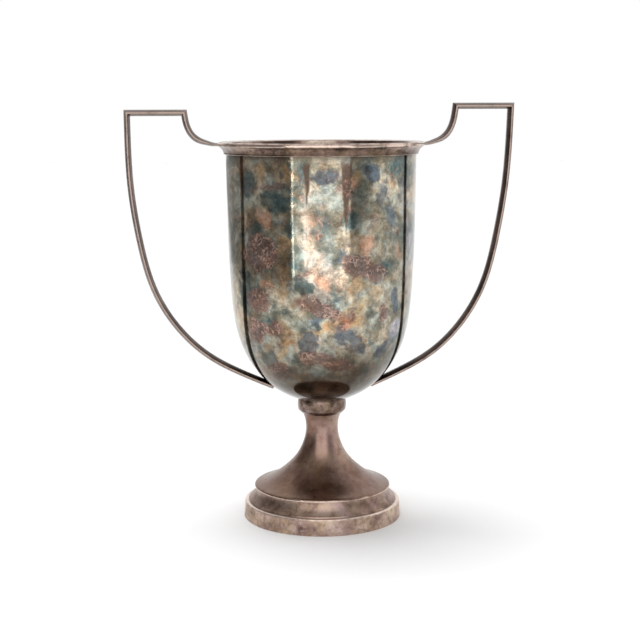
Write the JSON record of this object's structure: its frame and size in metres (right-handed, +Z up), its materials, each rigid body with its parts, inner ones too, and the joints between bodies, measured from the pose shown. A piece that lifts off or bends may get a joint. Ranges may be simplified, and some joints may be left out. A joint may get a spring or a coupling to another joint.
{
  "type": "two-handled cup trophy",
  "caption": "Loving-cup trophy: a deep tarnished metal bowl with a moulded rim, tall squared strap handles, and a collar on a stepped trumpet foot.",
  "frame": {"origin": "centre of the foot's resting face, on the surface that the cup stands on", "axes": "+Z up along the cup's axis; +X through the right handle as seen from the front; +Y away from the viewer"},
  "size_m": [0.2365, 0.1258, 0.2556],
  "materials": {
    "bowl_plate": "polished silver plate under mottled grey-green, blue, tan and brown tarnish",
    "rim_plate": "satin silver plate, rose-brown tarnish, paler where handled",
    "foot_plate": "satin silver plate, blotchy brown and grey-yellow tarnish, bright worn edges",
    "handle_plate": "satin silver plate, brown tarnish, worn pale lands",
    "fastener_steel": "dull bare steel"
  },
  "bodies": {
    "root": {"base_band": "foot_plate", "base_edge_wire": "foot_plate", "base_mount": "foot_plate", "foot": "foot_plate", "collar": "foot_plate", "bowl": "bowl_plate", "rim_moulding": "rim_plate", "left_handle_crook": "handle_plate", "left_handle_top_bar": "handle_plate", "left_handle_bow": "handle_plate", "right_handle_crook": "handle_plate", "right_handle_top_bar": "handle_plate", "right_handle_bow": "handle_plate", "bowl_stud": "fastener_steel", "bridge_washer": "fastener_steel", "spring_washer": "fastener_steel", "stud_nut": "fastener_steel"}
  },
  "joints": []
}
